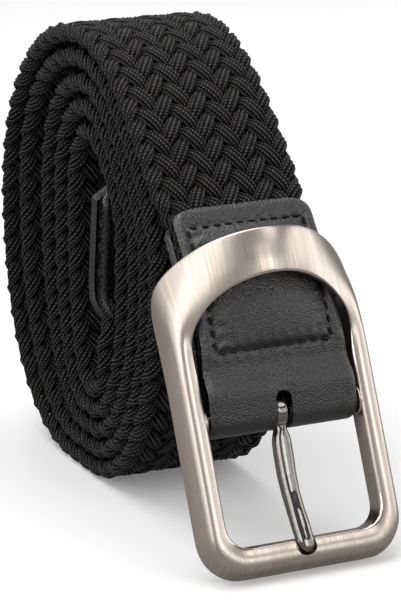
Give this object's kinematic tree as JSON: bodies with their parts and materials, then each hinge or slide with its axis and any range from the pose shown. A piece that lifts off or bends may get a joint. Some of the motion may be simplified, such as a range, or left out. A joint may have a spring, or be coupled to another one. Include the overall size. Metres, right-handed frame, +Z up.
{
  "type": "belt",
  "caption": "Rolled elastic braided stretch belt with a leather tab, a leather tip and a satin metal buckle with an arched upper bar and a prong.",
  "frame": {"origin": "middle of the roll's flat base, on the floor", "axes": "+X across the strap, -Y towards the buckle's face, +Z up"},
  "size_m": [0.0504, 0.1355, 0.1083],
  "materials": {
    "braid": "matte braided knitted cord",
    "leather": "smooth semi-gloss with sewn edges",
    "satin_metal": "satin, brushed along the bars",
    "polished_metal": "polished"
  },
  "bodies": {
    "belt": {"braided_strap": "braid", "leather_tab": "leather", "leather_tip": "leather"},
    "buckle": {"buckle_frame": "satin_metal", "bar_pin": "polished_metal"},
    "prong": {"prong": "polished_metal"}
  },
  "joints": [
    {"name": "frame_swing", "type": "hinge", "parent": "belt", "child": "buckle", "pos_m": [0, -0.07135, 0.03272], "axis": [1, 0, 0], "range_deg": [0, 60]},
    {"name": "prong_swing", "type": "hinge", "parent": "buckle", "child": "prong", "pos_m": [0, -0.07135, 0.03272], "axis": [-1, 0, 0], "range_deg": [0, 100]}
  ]
}
